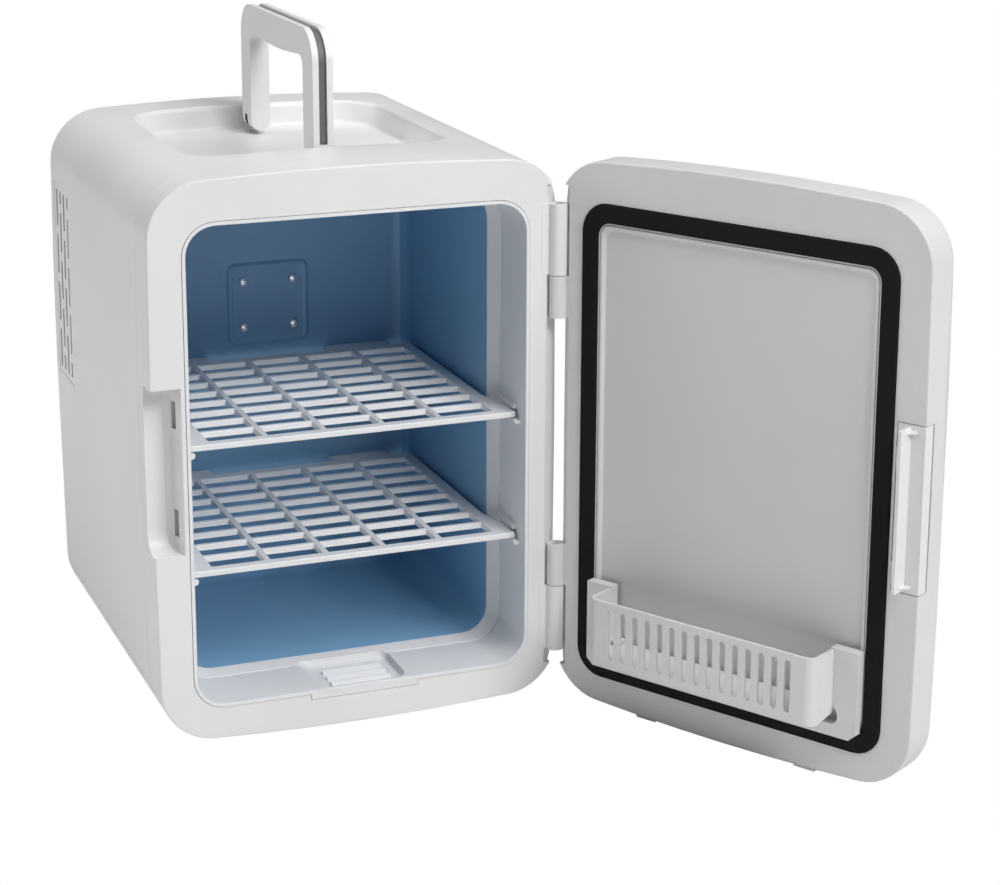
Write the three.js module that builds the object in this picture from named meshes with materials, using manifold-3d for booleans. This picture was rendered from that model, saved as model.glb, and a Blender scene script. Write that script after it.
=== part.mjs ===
// A portable ten-litre thermoelectric mini fridge, door standing open and carry handle upright.
// Millimetres. +X right, +Y towards the back, +Z up. The front faces -Y and the origin is on the
// floor under the middle of the cabinet.
import * as THREE from 'three';
import { mergeVertices } from 'three/addons/utils/BufferGeometryUtils.js';
import Module from 'manifold-3d';

const wasm = await Module();
wasm.setup();

// ---- driving dimensions -------------------------------------------------------------------
const WIDTH = 248;
const HEIGHT = 335;
const DEPTH = 260;
const BASE_Z = 2.5; // the feet lift the lowest point of the body this far
const CORNER_R = 31;
const BOW_TOP = 4.6; // the top and bottom edges bow out this much at mid-width
const BOW_SIDE = 1.9;
const WALL = 2.6;
const GAP = 0.3;

const FRONT_Y = -DEPTH / 2;
const MID_Z = BASE_Z + HEIGHT / 2;
const fromFront = (depth) => FRONT_Y + depth;
const fromBase = (height) => BASE_Z + height;

const BEZEL_DEPTH = 28;
const OPENING = { half: 101, low: 24.1, high: 306.4, radius: 17 };
const LIP = 2.3; // thickness of the collar's front lip
const COLLAR_DEPTH = 50;
const LINER = { half: 96.5, low: 25.5, high: 305, radius: 16, back: 198, wall: 2 };
const FOAM_BACK = 212;

const TRAY = { half: 79.5, front: 63, back: 225, radius: 24, floor: 319.5, draft: 1.5, fillet: 3, lip: 3.4 };

const SHELF = { half: 94, earHalf: 99.3, front: 10.5, back: 185, tab: 11, thick: 4, tops: [178, 102.4] };
const SHELF_SLOT = { rows: 8, columns: 5, pitchY: 20.3, pitchX: 35.4, long: 31.4, deep: 16.8, firstY: 17.4 };

const HINGE = { x: 121, y: fromFront(-1), radius: 5.3, pin: 2, open: 120 };
const KNUCKLES = {
  cabinetTop: [262.4, 304.7],
  doorTop: [236.9, 262.0],
  doorBottom: [70.9, 96.7],
  cabinetBottom: [29.5, 70.5],
};
const HINGE_CHAMFER = { x: 113.9, low: 20, high: 316 };

const DOOR = { inner: -2, outer: -28, skirt: 4.8, faceThick: 4.5 };
const GASKET = { half: 104, low: 19.2, high: 308.3, band: 10.8, radius: 17, proud: 1.3 };
const LATCH = { edge: 106.5, low: 120.2, high: 215.2, pivotX: -120.6, pivotY: -7.5, rib: 114.6, ribTip: 8.5 };
const FINGER = { x: -106, low: 117, high: 215.4, depth: 16 };
const BASKET = { half: 77, low: 40, high: 80, depth: 27, wall: 2, rise: 3.4, slots: 15, slotPitch: 8.6 };
const BASKET_FRAME = { half: 92.6, foot: 28.6, thick: 6.4 };
const COOLER = { x: 2, z: 210 };
const HANDLE = { half: 6.2, front: 66, back: 218.6, top: 402, pivotZ: 328, leg: 20, grip: 17, swell: 2.2 };
const VENT = { front: 205.5, back: 249.5, low: 164, high: 289 };
const DRIP = { half: 33, back: 47, low: 18.4, high: 24.1, ridges: [10, 19, 28] };

// ---- solids -------------------------------------------------------------------------------
function toSolid(geometry) {
  const plain = geometry.index ? geometry.toNonIndexed() : geometry.clone();
  plain.deleteAttribute('normal');
  plain.deleteAttribute('uv');
  const merged = mergeVertices(plain, 1e-4);
  const mesh = new wasm.Mesh({
    numProp: 3,
    vertProperties: merged.attributes.position.array,
    triVerts: new Uint32Array(merged.index.array),
  });
  return new wasm.Manifold(mesh);
}

function toGeometry(solid) {
  const mesh = solid.getMesh();
  const geometry = new THREE.BufferGeometry();
  geometry.setAttribute('position', new THREE.BufferAttribute(new Float32Array(mesh.vertProperties), 3));
  geometry.setIndex(new THREE.BufferAttribute(new Uint32Array(mesh.triVerts), 1));
  geometry.computeVertexNormals();
  return geometry;
}

const join = (first, ...rest) => rest.reduce((sum, piece) => sum.add(piece), first);
const cut = (first, ...rest) => rest.reduce((left, piece) => left.subtract(piece), first);

// A closed body through rings of points that all have the same count. Ends are fans.
function loft(rings) {
  const count = rings[0].length;
  const positions = rings.flat().flatMap((p) => [p.x, p.y, p.z]);
  const faces = [];
  for (let r = 0; r + 1 < rings.length; r++) {
    for (let i = 0; i < count; i++) {
      const j = (i + 1) % count;
      const a = r * count;
      const b = a + count;
      faces.push(a + i, a + j, b + j, a + i, b + j, b + i);
    }
  }
  const last = (rings.length - 1) * count;
  for (let i = 1; i + 1 < count; i++) {
    faces.push(0, i + 1, i, last, last + i, last + i + 1);
  }
  let volume = 0;
  const corner = (k) => new THREE.Vector3().fromArray(positions, 3 * k);
  for (let i = 0; i < faces.length; i += 3) {
    volume += corner(faces[i]).dot(corner(faces[i + 1]).cross(corner(faces[i + 2])));
  }
  if (volume < 0) faces.reverse();
  const geometry = new THREE.BufferGeometry();
  geometry.setAttribute('position', new THREE.Float32BufferAttribute(positions, 3));
  geometry.setIndex(faces);
  return toSolid(geometry);
}

function box(x0, x1, y0, y1, z0, z1) {
  const geometry = new THREE.BoxGeometry(x1 - x0, y1 - y0, z1 - z0);
  return toSolid(geometry.translate((x0 + x1) / 2, (y0 + y1) / 2, (z0 + z1) / 2));
}

// A round bar along an axis, from a to b on that axis, centred at (u, v) of the other two.
function bar(axis, radius, a, b, u, v, sides = 16) {
  const geometry = new THREE.CylinderGeometry(radius, radius, b - a, sides);
  const middle = (a + b) / 2;
  if (axis === 'x') geometry.rotateZ(Math.PI / 2).translate(middle, u, v);
  if (axis === 'y') geometry.translate(u, middle, v);
  if (axis === 'z') geometry.rotateX(Math.PI / 2).translate(u, v, middle);
  return toSolid(geometry);
}

// A rounded rectangle in the XZ plane at depth y, sampled by arcs.
function roundedRing(x0, x1, z0, z1, radius, y, steps = 6) {
  const centres = [
    [x1 - radius, z1 - radius, 0],
    [x0 + radius, z1 - radius, 90],
    [x0 + radius, z0 + radius, 180],
    [x1 - radius, z0 + radius, 270],
  ];
  return centres.flatMap(([cx, cz, start]) =>
    Array.from({ length: steps + 1 }, (_, k) => {
      const angle = THREE.MathUtils.degToRad(start + (90 * k) / steps);
      return new THREE.Vector3(cx + radius * Math.cos(angle), y, cz + radius * Math.sin(angle));
    }),
  );
}

const roundedBlock = (x0, x1, z0, z1, radius, y0, y1, steps) =>
  loft([roundedRing(x0, x1, z0, z1, radius, y0, steps), roundedRing(x0, x1, z0, z1, radius, y1, steps)]);

// The fridge's outline: a rounded rectangle whose four sides bow outwards.
function bowedRing(inset, y) {
  const halfW = WIDTH / 2;
  const halfH = HEIGHT / 2;
  const w = halfW - inset;
  const h = halfH - inset;
  const radius = Math.max(CORNER_R - inset, 4);
  const cornerSteps = 9;
  const sideSteps = [4, 6, 4, 6];
  const ring = [];
  const quarter = [
    [w - radius, h - radius, 0],
    [-w + radius, h - radius, 90],
    [-w + radius, -h + radius, 180],
    [w - radius, -h + radius, 270],
  ];
  quarter.forEach(([cx, cz, start], q) => {
    for (let k = 0; k <= cornerSteps; k++) {
      const angle = THREE.MathUtils.degToRad(start + (90 * k) / cornerSteps);
      ring.push([cx + radius * Math.cos(angle), cz + radius * Math.sin(angle)]);
    }
    const next = quarter[(q + 1) % 4];
    const turn = THREE.MathUtils.degToRad(start + 90);
    const from = [cx + radius * Math.cos(turn), cz + radius * Math.sin(turn)];
    const to = [next[0] + radius * Math.cos(turn), next[1] + radius * Math.sin(turn)];
    for (let k = 1; k < sideSteps[(q + 1) % 4]; k++) {
      const t = k / sideSteps[(q + 1) % 4];
      ring.push([from[0] + (to[0] - from[0]) * t, from[1] + (to[1] - from[1]) * t]);
    }
  });
  return ring.map(([x, z]) => {
    const bowedX = x * (1 - (BOW_SIDE / halfW) * (z / halfH) ** 2);
    const bowedZ = z * (1 - (BOW_TOP / halfH) * (x / halfW) ** 2);
    return new THREE.Vector3(bowedX, y, MID_Z + bowedZ);
  });
}

const bowedBlock = (inset, y0, y1) => loft([bowedRing(inset, y0), bowedRing(inset, y1)]);

// A flat outline of [u, v] points pushed along an axis from a to b.
function prism(axis, outline, a, b) {
  const place = { x: (u, v, t) => [t, u, v], y: (u, v, t) => [u, t, v], z: (u, v, t) => [u, v, t] }[axis];
  return loft([a, b].map((t) => outline.map(([u, v]) => new THREE.Vector3(...place(u, v, t)))));
}

// A slot with round ends standing along Z in a wall that faces Y.
function uprightSlot(x, z0, z1, width, y0, y1) {
  const half = width / 2;
  return roundedBlock(x - half, x + half, z0, z1, half * 0.98, y0, y1, 3);
}

// ---- materials ----------------------------------------------------------------------------
const finish = (color, roughness, metalness = 0) =>
  new THREE.MeshStandardMaterial({ color, roughness, metalness });
const WHITE = finish(0xe9e9e9, 0.45);
const BRIGHT_WHITE = finish(0xf2f2f2, 0.4);
const BLUE = finish(0x5c8fb4, 0.4);
const BLACK = finish(0x151515, 0.7);
const DARK_GREY = finish(0x606264, 0.6);
const FOAM = finish(0xe8dfb8, 0.95);
const STEEL = finish(0xb9bcc0, 0.3, 1);
const ALUMINIUM = finish(0xc9ccd0, 0.4, 1);
const BOARD = finish(0x1d6b3a, 0.6);

const fridge = new THREE.Group();

function add(parent, name, solid, material) {
  const mesh = new THREE.Mesh(toGeometry(solid), material);
  mesh.name = name;
  parent.add(mesh);
  return mesh;
}

// ---- cabinet ------------------------------------------------------------------------------
// The sunk tray in the top, grown by a wall thickness for its shell. A fillet rounds its floor and
// a soft lip, which follows the bowed top, rounds its rim.
function trayBody(grow) {
  const { half, front, back, radius, floor, draft, fillet, lip } = TRAY;
  const ring = (out, height, bowed) => {
    const corners = roundedRing(-half - out, half + out, front - out, back + out, radius + out, 0, 7);
    // the long sides get points between their ends, so that the rim can follow the bow
    const points = corners.flatMap((p, k) => {
      const next = corners[(k + 1) % corners.length];
      const parts = p.distanceTo(next) > 30 ? 9 : 1;
      return Array.from({ length: parts }, (_, i) => p.clone().lerp(next, i / parts));
    });
    return points.map((p) => {
      const drop = bowed ? BOW_TOP * (p.x / (WIDTH / 2)) ** 2 : 0;
      return new THREE.Vector3(p.x, fromFront(p.z), fromBase(height - drop));
    });
  };
  const steps = [0, 1, 2, 3, 4].map((k) => THREE.MathUtils.degToRad(22.5 * k));
  const low = steps.map((angle) => {
    const out = grow - draft - fillet * (1 - Math.sin(angle));
    return ring(out, floor - grow + fillet * (1 - Math.cos(angle)), false);
  });
  if (grow > 0) return loft([...low, ring(grow + lip * 0.4, HEIGHT + 6, true)]);
  const high = steps.map((angle) => ring(lip * (1 - Math.cos(angle)), HEIGHT - lip * (1 - Math.sin(angle)), true));
  return loft([...low, ...high, ring(lip + 0.5, HEIGHT + 3, true)]);
}

// Blind bores from the tray's end walls into the handle's two legs.
function handlePivotBores() {
  const radius = HINGE.pin + GAP;
  const z = fromBase(HANDLE.pivotZ);
  return join(
    bar('y', radius, fromFront(40), fromFront(HANDLE.front + 13), 0, z),
    bar('y', radius, fromFront(HANDLE.back - 13), fromFront(245), 0, z),
  );
}

function cabinetShell() {
  const front = fromFront(BEZEL_DEPTH + GAP);
  const back = fromFront(DEPTH);
  const edge = 1.5;
  const outer = loft([bowedRing(0, front), bowedRing(0, back - edge), bowedRing(edge, back)]);
  const tube = cut(outer, bowedBlock(WALL, front - 1, back + 1));
  const pan = trayBody(2.2).intersect(outer);
  const plate = box(-45, 45, -30, 30, fromBase(-0.4), fromBase(1.5));
  const window = (side) =>
    box(
      Math.min(side * 110, side * 130),
      Math.max(side * 110, side * 130),
      fromFront(VENT.front),
      fromFront(VENT.back),
      fromBase(VENT.low),
      fromBase(VENT.high),
    );
  return cut(join(tube, pan, plate), trayBody(0), handlePivotBores(), window(-1), window(1));
}

// One side's louvre: a piece of the side wall with four staggered columns of upright slots.
function ventGrille(side) {
  const gap = GAP;
  const y0 = fromFront(VENT.front + gap);
  const y1 = fromFront(VENT.back - gap);
  const z0 = fromBase(VENT.low + gap);
  const z1 = fromBase(VENT.high - gap);
  const skin = cut(bowedBlock(0.3, y0, y1), bowedBlock(WALL, y0 - 1, y1 + 1));
  const x0 = Math.min(side * 110, side * 130);
  const x1 = Math.max(side * 110, side * 130);
  let grille = skin.intersect(box(x0, x1, y0, y1, z0, z1));
  const pitch = 31;
  const slotHeight = 25;
  const columnPitch = 10.2;
  const inside = 4;
  for (let column = 0; column < 4; column++) {
    const y = (y0 + y1) / 2 + (column - 1.5) * columnPitch;
    const shift = column % 2 ? 0 : pitch / 2;
    for (let row = -1; row < 5; row++) {
      const low = Math.max(z0 + inside, z0 + inside + row * pitch + shift);
      const high = Math.min(z1 - inside, z0 + inside + row * pitch + shift + slotHeight);
      if (high - low > 5) grille = grille.subtract(box(x0, x1, y - 2, y + 2, low, high));
    }
  }
  return grille;
}

function fingerRecess() {
  const plan = (scale) => {
    const d = FINGER.depth * scale;
    return [
      [-132, -3],
      [FINGER.x + 0.8, -3],
      [FINGER.x, 0],
      [FINGER.x - 3.2 * scale, d * 0.8],
      [FINGER.x - 7 * scale, d],
      [-132, d * 0.97],
    ];
  };
  const ring = (z, scale) => plan(scale).map(([x, y]) => new THREE.Vector3(x, fromFront(y), fromBase(z)));
  return loft([
    ring(FINGER.low, 0.42),
    ring(FINGER.low + 1.5, 0.68),
    ring(FINGER.low + 4, 0.86),
    ring(FINGER.low + 9, 0.98),
    ring(FINGER.low + 13, 1),
    ring(FINGER.high, 1),
  ]);
}

function catchSlot(low) {
  return box(-111, -104.7, fromFront(7), fromFront(11.8), fromBase(low), fromBase(low + 16));
}

// The raised lip in front of a catch slot, which the latch's hook snaps behind.
function catchLip(low) {
  return box(-106.6, -105, fromFront(5.4), fromFront(6.9), fromBase(low - 1.4), fromBase(low + 17.4));
}

function hingeChamfer(sign, faceY) {
  const reach = 16;
  const outline = [
    [HINGE_CHAMFER.x, faceY],
    [HINGE_CHAMFER.x - 4, faceY - sign * 4],
    [HINGE_CHAMFER.x + reach, faceY - sign * 4],
    [HINGE_CHAMFER.x + reach, faceY + sign * reach],
  ];
  return prism('z', outline, fromBase(HINGE_CHAMFER.low), fromBase(HINGE_CHAMFER.high));
}

// A knuckle barrel with the web that roots it in its casting. sign is +1 for the cabinet.
function knuckle([low, high], sign) {
  const z0 = fromBase(low);
  const z1 = fromBase(high);
  const barrel = bar('z', HINGE.radius, z0, z1, HINGE.x, HINGE.y, 20);
  const reach = sign * 6;
  const y0 = Math.min(HINGE.y + sign * 0.8, HINGE.y + reach);
  const y1 = Math.max(HINGE.y + sign * 0.8, HINGE.y + reach);
  return join(barrel, box(HINGE_CHAMFER.x - 3, HINGE.x, y0, y1, z0, z1));
}

const pinBore = () => bar('z', HINGE.pin + GAP, fromBase(10), fromBase(325), HINGE.x, HINGE.y);

function frontBezel() {
  const y0 = FRONT_Y;
  const y1 = fromFront(BEZEL_DEPTH);
  const edge = 1.6;
  const body = loft([bowedRing(edge, y0), bowedRing(0.4, y0 + 0.5), bowedRing(0, y0 + edge), bowedRing(0, y1)]);
  const grow = LIP + GAP;
  const opening = (extra, from, to) =>
    roundedBlock(
      -OPENING.half - grow - extra,
      OPENING.half + grow + extra,
      fromBase(OPENING.low - grow - extra),
      fromBase(OPENING.high + grow + extra),
      OPENING.radius + grow + extra,
      from,
      to,
    );
  const pocket = cut(
    bowedBlock(3, y0 + 3, y1 + 1),
    opening(2.2, y0, y1 + 2),
    box(-130, -100, y0, y1 + 2, fromBase(FINGER.low - 3), fromBase(FINGER.high + 3)),
    box(104, 130, y0, y1 + 2, fromBase(HINGE_CHAMFER.low - 4), fromBase(HINGE_CHAMFER.high + 4)),
    box(-DRIP.half - 3, DRIP.half + 3, y0, y1 + 2, fromBase(0), fromBase(30)),
  );
  const dripNotch = box(
    -DRIP.half - GAP,
    DRIP.half + GAP,
    y0 - 1,
    y1 + 1,
    fromBase(DRIP.low - GAP),
    fromBase(30),
  );
  const shaped = cut(
    body,
    opening(0, y0 - 1, y1 + 1),
    pocket,
    hingeChamfer(1, y0),
    fingerRecess(),
    catchSlot(126),
    catchSlot(190),
    dripNotch,
  );
  const lips = join(catchLip(126), catchLip(190));
  const knuckles = join(knuckle(KNUCKLES.cabinetTop, 1), knuckle(KNUCKLES.cabinetBottom, 1));
  return cut(join(shaped, lips, knuckles), pinBore());
}

// Shelf supports moulded on a side wall: a ledge under the shelf and a guide above it.
function collarRails(side) {
  const pieces = SHELF.tops.flatMap((top) => {
    const under = top - SHELF.thick - GAP;
    const nub = [
      [OPENING.half - 4.2, fromBase(under)],
      [OPENING.half + 1, fromBase(under)],
      [OPENING.half + 1, fromBase(under - 2.8)],
      [OPENING.half - 3.4, fromBase(under - 2.2)],
    ];
    const guide = [
      [OPENING.half - 2.6, fromBase(top + 1.2)],
      [OPENING.half + 1, fromBase(top + 1.2)],
      [OPENING.half + 1, fromBase(top + 5.4)],
      [OPENING.half - 2.6, fromBase(top + 3.2)],
    ];
    const mirrored = (outline) => outline.map(([x, z]) => [side * x, z]);
    return [
      prism('y', mirrored(nub), fromFront(7), fromFront(19)),
      prism('y', mirrored(guide), fromFront(13), fromFront(COLLAR_DEPTH - 2)),
    ];
  });
  return join(...pieces);
}

function innerCollar() {
  const y0 = fromFront(-0.4);
  const y1 = fromFront(COLLAR_DEPTH);
  const { half, low, high, radius } = OPENING;
  const outer = roundedBlock(
    -half - LIP,
    half + LIP,
    fromBase(low - LIP),
    fromBase(high + LIP),
    radius + LIP,
    y0,
    y1,
  );
  const ring = (w, z0, z1, r, y) => roundedRing(-w, w, fromBase(z0), fromBase(z1), r, fromFront(y));
  // behind the shelf supports a fine groove and a narrow slope lead to a bead at the blue liner
  const bead = 0.6;
  const inner = loft([
    ring(half + 0.6, low - 0.6, high + 0.6, radius + 0.6, -1),
    ring(half, low, high, radius, 0.6),
    ring(half - 0.4, low + 0.1, high - 0.2, radius, 39),
    ring(half + 0.3, low - 0.5, high + 0.5, radius, 39.3),
    ring(half + 0.3, low - 0.5, high + 0.5, radius, 40.3),
    ring(half - 0.6, low + 0.2, high - 0.3, radius, 40.6),
    ring(LINER.half - bead, LINER.low + bead, LINER.high - bead, LINER.radius, COLLAR_DEPTH - 2),
    ring(LINER.half - bead, LINER.low + bead, LINER.high - bead, LINER.radius, COLLAR_DEPTH + 1),
  ]);
  const rails = join(collarRails(-1), collarRails(1)).intersect(outer);
  return join(cut(join(cut(outer, inner), rails, dripBlock()), dripBowl()), dripRidges());
}

function linerLedges(side) {
  const pieces = SHELF.tops.map((top) => {
    const under = top - SHELF.thick - GAP;
    const outline = [
      [side * (LINER.half - 4.5), fromBase(under)],
      [side * (LINER.half + 1), fromBase(under)],
      [side * (LINER.half + 1), fromBase(under - 5)],
      [side * (LINER.half - 1), fromBase(under - 3.5)],
    ];
    return prism('y', outline, fromFront(COLLAR_DEPTH + 4), fromFront(LINER.back - 8));
  });
  return join(...pieces);
}

function innerLiner() {
  const { half, low, high, radius, back, wall } = LINER;
  const y0 = fromFront(COLLAR_DEPTH + GAP);
  const outer = roundedBlock(
    -half - wall,
    half + wall,
    fromBase(low - wall),
    fromBase(high + wall),
    radius + wall,
    y0,
    fromFront(back + wall),
  );
  const ring = (inset, y) =>
    roundedRing(-half + inset, half - inset, fromBase(low + inset), fromBase(high - inset), radius - inset, y);
  // the back corners of the cavity are rounded off by three short bands
  const inner = loft([
    ring(0, y0 - 1),
    ring(0, fromFront(back - 12)),
    ring(1.6, fromFront(back - 6)),
    ring(5, fromFront(back - 1.8)),
    ring(11, fromFront(back)),
  ]);
  const seat = roundedBlock(
    COOLER.x - 26.5,
    COOLER.x + 26.5,
    fromBase(COOLER.z - 25.5),
    fromBase(COOLER.z + 25.5),
    6,
    fromFront(back - 1),
    fromFront(back + 1),
  );
  const window = box(
    COOLER.x - 20.3,
    COOLER.x + 20.3,
    fromFront(back - 1),
    fromFront(back + 4),
    fromBase(COOLER.z - 18.3),
    fromBase(COOLER.z + 18.3),
  );
  const ledges = join(linerLedges(-1), linerLedges(1)).intersect(outer);
  const pockets = SHELF.tops.flatMap((top) =>
    [-1, 1].map((side) => {
      const [x0, x1] = [side * 38.5, side * 83.5].sort((a, b) => a - b);
      return box(x0, x1, fromFront(back - 1), fromFront(back + 1.5), fromBase(top - 9), fromBase(top - 1.6));
    }),
  );
  return cut(join(cut(outer, inner), ledges), seat, window, ...pockets);
}

function insulationFoam() {
  const clear = 0.4;
  const { half, low, high, radius, wall } = LINER;
  const y0 = fromFront(BEZEL_DEPTH + 0.6);
  const body = bowedBlock(WALL + clear, y0, fromFront(FOAM_BACK));
  const grow = wall + clear;
  const linerRoom = roundedBlock(
    -half - grow,
    half + grow,
    fromBase(low - grow),
    fromBase(high + grow),
    radius + grow,
    y0 - 1,
    fromFront(LINER.back + grow),
  );
  const lipGrow = LIP + clear;
  const collarRoom = roundedBlock(
    -OPENING.half - lipGrow,
    OPENING.half + lipGrow,
    fromBase(OPENING.low - lipGrow),
    fromBase(OPENING.high + lipGrow),
    OPENING.radius + lipGrow,
    y0 - 1,
    fromFront(COLLAR_DEPTH + clear),
  );
  const dripRoom = box(-DRIP.half - 1, DRIP.half + 1, y0 - 1, fromFront(DRIP.back + 1), fromBase(DRIP.low - 1), 40);
  const blockRoom = box(
    COOLER.x - 20.5,
    COOLER.x + 20.5,
    fromFront(190),
    fromFront(FOAM_BACK + 1),
    fromBase(COOLER.z - 20.5),
    fromBase(COOLER.z + 20.5),
  );
  return cut(body, linerRoom, collarRoom, dripRoom, blockRoom, trayBody(2.7));
}

// The block that carries the drip recess, with a tab that breaks the front lip.
function dripBlock() {
  return box(-DRIP.half, DRIP.half, fromFront(0), fromFront(DRIP.back), fromBase(DRIP.low), fromBase(DRIP.high));
}

function dripBowl() {
  const plan = (x0, x1, front, back, r, z) =>
    roundedRing(x0, x1, front, back, r, 0, 4).map((p) => new THREE.Vector3(p.x, fromFront(p.z), fromBase(z)));
  return loft([
    plan(-19, 26.6, 3.4, 41, 5, DRIP.low + 1.6),
    plan(-24, 27.2, 2.6, 42.6, 6, DRIP.low + 2.6),
    plan(-30.5, 27.6, 2, 44, 7, DRIP.high + 0.1),
    plan(-31, 27.8, 1.8, 44.4, 7, DRIP.high + 1),
  ]);
}

// Three low saw-toothed bars across the recess.
function dripRidges() {
  const floor = DRIP.low + 1.4;
  const ridge = (y) => {
    const section = [
      [fromFront(y), fromBase(floor)],
      [fromFront(y + 4.6), fromBase(floor)],
      [fromFront(y + 3.7), fromBase(floor + 2.4)],
      [fromFront(y + 3.3), fromBase(floor + 2.4)],
    ];
    return prism('x', section, -17, 20);
  };
  return join(...DRIP.ridges.map(ridge));
}

function foot(x, y) {
  const top = 1.4;
  const profile = [
    [0, 0],
    [6.6, 0],
    [7.6, 0.8],
    [8, BASE_Z + top],
    [0, BASE_Z + top],
  ].map(([r, z]) => new THREE.Vector2(r, z));
  const geometry = new THREE.LatheGeometry(profile, 16).rotateX(Math.PI / 2);
  return toSolid(geometry.translate(x, y, 0));
}

// ---- cooling unit -------------------------------------------------------------------------
const PLATE_SCREWS = [
  [-16.5, -15],
  [16.5, -15],
  [-16.5, 15],
  [16.5, 15],
];

function coldPlate() {
  const y0 = fromFront(LINER.back - 0.8);
  const y1 = fromFront(LINER.back + 0.7);
  const { x, z } = COOLER;
  const plate = roundedBlock(x - 26, x + 26, fromBase(z - 25), fromBase(z + 25), 5.6, y0, y1);
  const holes = PLATE_SCREWS.map(([dx, dz]) => bar('y', 1.75, y0 - 1, y1 + 1, x + dx, fromBase(z + dz), 8));
  return cut(plate, ...holes);
}

// A domed screw head with a short shank behind it, its axis along Y.
function screw(x, y, z, direction, headRadius = 3.1) {
  const profile = [
    [0, 4],
    [1.4, 4],
    [1.4, 0],
    [headRadius, 0],
    [headRadius * 0.94, -0.9],
    [headRadius * 0.62, -1.7],
    [0, -2.1],
  ]
    .reverse()
    .map(([r, d]) => new THREE.Vector2(r, d));
  const geometry = new THREE.LatheGeometry(profile, 10);
  if (direction < 0) geometry.rotateX(Math.PI);
  return toSolid(geometry.translate(x, y, z));
}

function heatSink(y0, y1) {
  const half = 45;
  const z = fromBase(COOLER.z);
  const base = box(COOLER.x - half, COOLER.x + half, y0, y0 + 4, z - half, z + half);
  const fins = Array.from({ length: 12 }, (_, k) => {
    const x = COOLER.x - half + 0.8 + (k * (2 * half - 3.2)) / 11;
    return box(x, x + 1.6, y0 + 3, y1, z - half, z + half);
  });
  return join(base, ...fins);
}

function fanFrame(y0, y1) {
  const z = fromBase(COOLER.z);
  const half = 40;
  const frame = cut(
    box(COOLER.x - half, COOLER.x + half, y0, y1, z - half, z + half),
    bar('y', 37.5, y0 - 1, y1 + 1, COOLER.x, z, 32),
  );
  const hub = bar('y', 14, y1 - 2.5, y1, COOLER.x, z, 20);
  const strut = [0, 120, 240].map((degrees) => {
    const geometry = new THREE.BoxGeometry(3, 2.5, 30);
    geometry.translate(0, 0, 25).rotateY(THREE.MathUtils.degToRad(degrees + 90));
    return toSolid(geometry.translate(COOLER.x, y1 - 1.25, z));
  });
  const screwRoom = [-1, 1].flatMap((i) =>
    [-1, 1].map((j) => bar('y', 2.2, y0 - 1, y1 + 1, COOLER.x + i * 35.8, z + j * 35.8, 8)),
  );
  return cut(join(frame, hub, ...strut), ...screwRoom);
}

function fanRotor(y0, y1) {
  const z = fromBase(COOLER.z);
  const hub = bar('y', 15, y0, y1, COOLER.x, z, 20);
  const blades = Array.from({ length: 7 }, (_, k) => {
    const geometry = new THREE.BoxGeometry(14, 1.4, 23);
    geometry.rotateZ(THREE.MathUtils.degToRad(32)).translate(0, 0, 24.5);
    geometry.rotateY((k * 2 * Math.PI) / 7);
    return toSolid(geometry.translate(COOLER.x, (y0 + y1) / 2, z));
  });
  return join(hub, ...blades);
}

function powerBoard() {
  const y = fromFront(222);
  const parts = [
    [-60, 40, 0, 1.6, 70, 130],
    [-50, -28, 1, 16, 80, 104],
    [-18, 4, 1, 13, 78, 92],
    [12, 30, 1, 9, 84, 120],
    [-48, -38, 1, 12, 112, 122],
    [-26, -6, 1, 6, 108, 124],
  ];
  return join(...parts.map(([x0, x1, d0, d1, z0, z1]) => box(x0, x1, y + d0, y + d1, fromBase(z0), fromBase(z1))));
}

// A lead that bows between two points.
function lead(points, radius) {
  const path = new THREE.CatmullRomCurve3(points.map((p) => new THREE.Vector3(...p)));
  const section = new THREE.Shape();
  section.absarc(0, 0, radius, 0, 2 * Math.PI);
  const geometry = new THREE.ExtrudeGeometry(section, {
    extrudePath: path,
    steps: 14,
    curveSegments: 6,
    bevelEnabled: false,
  });
  return toSolid(geometry);
}

// ---- back ---------------------------------------------------------------------------------
const SOCKETS = { z: 45, inlet: -62, dc: -18, rocker: 40 };
const COVER_SCREWS = [
  [-92, 36],
  [92, 36],
  [-92, 299],
  [92, 299],
];

function rearCover() {
  const y0 = fromFront(DEPTH - 3);
  const y1 = fromFront(DEPTH - 0.5);
  const z = fromBase(COOLER.z);
  const through = [y0 - 2, y1 + 2];
  let cover = bowedBlock(WALL + GAP, y0, y1);
  const radius = 39;
  for (let k = -4; k <= 4; k++) {
    const x = COOLER.x + k * 8.2;
    const reach = Math.sqrt(radius ** 2 - (k * 8.2) ** 2) - 2;
    if (reach > 6) {
      cover = cover.subtract(uprightSlot(x, z + 2, z + reach, 4.6, ...through));
      cover = cover.subtract(uprightSlot(x, z - reach, z - 2, 4.6, ...through));
    }
  }
  for (let k = -5; k <= 5; k++) {
    cover = cover.subtract(uprightSlot(k * 11, fromBase(90), fromBase(128), 4.6, ...through));
  }
  const panel = fromBase(SOCKETS.z);
  const holes = [
    box(SOCKETS.inlet - 12.3, SOCKETS.inlet + 12.3, ...through, panel - 8.3, panel + 8.3),
    box(SOCKETS.dc - 7.3, SOCKETS.dc + 7.3, ...through, panel - 7.3, panel + 7.3),
    box(SOCKETS.rocker - 15.3, SOCKETS.rocker + 15.3, ...through, panel - 7.3, panel + 7.3),
    ...COVER_SCREWS.map(([sx, sz]) => bar('y', 1.8, ...through, sx, fromBase(sz), 8)),
  ];
  const rockerBox = cut(
    box(SOCKETS.rocker - 17.3, SOCKETS.rocker + 17.3, y0 - 11, y0 + 0.5, panel - 9.3, panel + 9.3),
    box(SOCKETS.rocker - 15.3, SOCKETS.rocker + 15.3, y0 - 12, y0 + 2, panel - 7.3, panel + 7.3),
  );
  return join(cut(cover, ...holes), rockerBox);
}

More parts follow.
